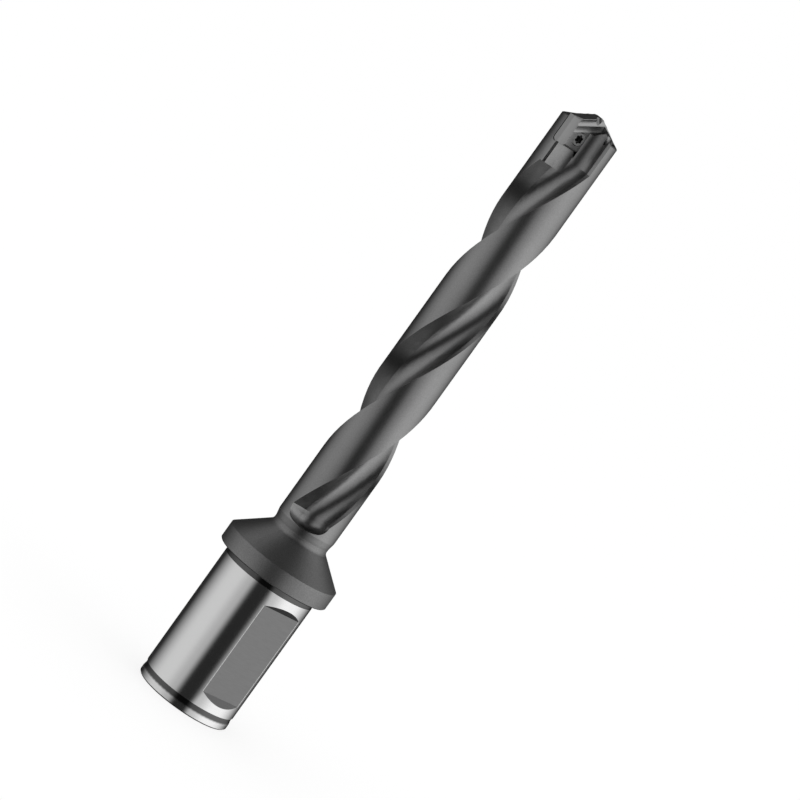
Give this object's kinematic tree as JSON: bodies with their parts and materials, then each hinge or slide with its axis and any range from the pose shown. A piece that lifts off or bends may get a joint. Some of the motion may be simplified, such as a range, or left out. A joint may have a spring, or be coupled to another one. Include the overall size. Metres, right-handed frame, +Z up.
{
  "type": "indexable spade drill",
  "caption": "Straight-shank indexable spade drill with a side-lock flat, flange, helical flutes and a screwed-on blade insert.",
  "frame": {"origin": "centre of the shank's end face", "axes": "+Z up the drill axis to the point, +X along the width of the blade insert, +Y square to its broad faces"},
  "size_m": [0.0388, 0.0388, 0.2187],
  "materials": {
    "tool_steel": "dark satin coating on the body and flange, bright ground shank",
    "carbide": "fine ground carbide with a thin grey coating",
    "screw_steel": "satin steel"
  },
  "bodies": {
    "root": {"holder_body": "tool_steel", "drill_insert": "carbide", "clamp_screw_front": "screw_steel", "clamp_screw_rear": "screw_steel"}
  },
  "joints": []
}
